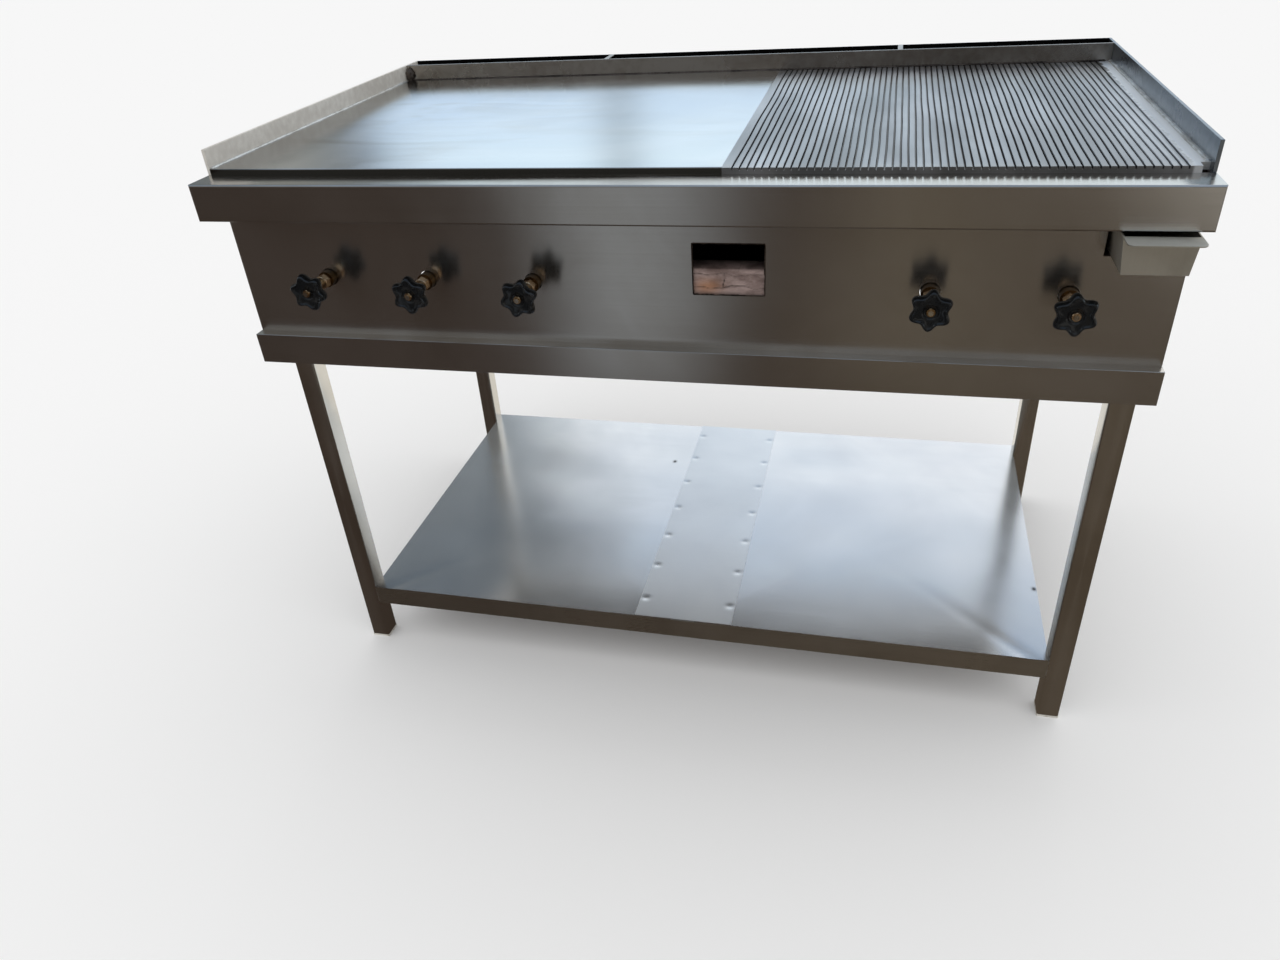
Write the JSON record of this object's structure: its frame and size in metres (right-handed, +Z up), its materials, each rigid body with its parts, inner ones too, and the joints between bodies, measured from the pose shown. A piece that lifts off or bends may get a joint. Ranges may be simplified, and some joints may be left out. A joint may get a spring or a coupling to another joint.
{
  "type": "flat top griddle",
  "caption": "Gas griddle with smooth and grooved steel plates, splash guards, star valve handwheels, grease drawer and open stand with low shelf.",
  "frame": {"origin": "on the floor, at the middle of the whole outline with the drawer shut", "axes": "+X along the griddle to the cook's right, +Y from the cook's side to the back, +Z up"},
  "size_m": [1.2, 0.772, 0.893],
  "materials": {
    "plate_steel": "ground and rubbed bright",
    "guard_steel": "mill",
    "panel_stainless": "brushed",
    "tube_stainless": "brushed",
    "shelf_stainless": "brushed",
    "mild_steel": "mill scale",
    "pipe_steel": "galvanised",
    "burner_iron": "matt",
    "brass": "turned",
    "spindle_steel": "turned",
    "bakelite": "gloss",
    "fire_clay": "rough",
    "cap_plastic": "satin"
  },
  "bodies": {
    "griddle_stand": {"back_panel": "panel_stainless", "back_splash_guard": "guard_steel", "base_frame_front": "panel_stainless", "base_frame_rear": "panel_stainless", "base_frame_sides": "panel_stainless", "burner_rails": "mild_steel", "drawer_runners": "mild_steel", "fire_brick": "fire_clay", "floor_pan": "panel_stainless", "flue_tabs": "guard_steel", "front_left_leg": "tube_stainless", "front_panel": "panel_stainless", "front_right_leg": "tube_stainless", "gas_jets": "brass", "gas_manifold": "pipe_steel", "gas_valve_1": "brass", "gas_valve_2": "brass", "gas_valve_3": "brass", "gas_valve_4": "brass", "gas_valve_5": "brass", "grease_chute": "panel_stainless", "grooved_griddle_plate": "plate_steel", "inlet_elbow": "pipe_steel", "inlet_pipe": "pipe_steel", "left_shelf_sheet": "shelf_stainless", "left_side_panel": "panel_stainless", "left_splash_guard": "guard_steel", "leg_end_caps": "cap_plastic", "manifold_brackets": "mild_steel", "manifold_end_cap": "pipe_steel", "pipe_burners": "burner_iron", "plate_supports": "mild_steel", "rear_left_leg": "tube_stainless", "rear_right_leg": "tube_stainless", "right_shelf_sheet": "shelf_stainless", "right_side_panel": "panel_stainless", "right_splash_guard": "guard_steel", "shelf_centre_strip": "shelf_stainless", "shelf_rail_front": "tube_stainless", "shelf_rail_rear": "tube_stainless", "shelf_side_rails": "tube_stainless", "smooth_griddle_plate": "plate_steel", "top_apron": "panel_stainless", "valve_packing_nuts": "brass"},
    "valve_1_spindle": {"valve_stem_1": "spindle_steel", "handwheel_1": "bakelite", "handwheel_nut_1": "brass"},
    "valve_2_spindle": {"valve_stem_2": "spindle_steel", "handwheel_2": "bakelite", "handwheel_nut_2": "brass"},
    "valve_3_spindle": {"valve_stem_3": "spindle_steel", "handwheel_3": "bakelite", "handwheel_nut_3": "brass"},
    "valve_4_spindle": {"valve_stem_4": "spindle_steel", "handwheel_4": "bakelite", "handwheel_nut_4": "brass"},
    "valve_5_spindle": {"valve_stem_5": "spindle_steel", "handwheel_5": "bakelite", "handwheel_nut_5": "brass"},
    "drawer": {"grease_drawer": "panel_stainless"}
  },
  "joints": [
    {"name": "valve_1_turn", "type": "hinge", "parent": "griddle_stand", "child": "valve_1_spindle", "pos_m": [-0.466, -0.309, 0.718], "axis": [0, -1, 0], "range_deg": [0, 630]},
    {"name": "valve_2_turn", "type": "hinge", "parent": "griddle_stand", "child": "valve_2_spindle", "pos_m": [-0.318, -0.309, 0.718], "axis": [0, -1, 0], "range_deg": [0, 630]},
    {"name": "valve_3_turn", "type": "hinge", "parent": "griddle_stand", "child": "valve_3_spindle", "pos_m": [-0.168, -0.309, 0.718], "axis": [0, -1, 0], "range_deg": [0, 630]},
    {"name": "valve_4_turn", "type": "hinge", "parent": "griddle_stand", "child": "valve_4_spindle", "pos_m": [0.331, -0.309, 0.718], "axis": [0, -1, 0], "range_deg": [0, 630]},
    {"name": "valve_5_turn", "type": "hinge", "parent": "griddle_stand", "child": "valve_5_spindle", "pos_m": [0.484, -0.309, 0.718], "axis": [0, -1, 0], "range_deg": [0, 630]},
    {"name": "drawer_slide", "type": "slide", "parent": "griddle_stand", "child": "drawer", "axis": [0, -1, 0], "range_m": [0, 0.28]}
  ]
}
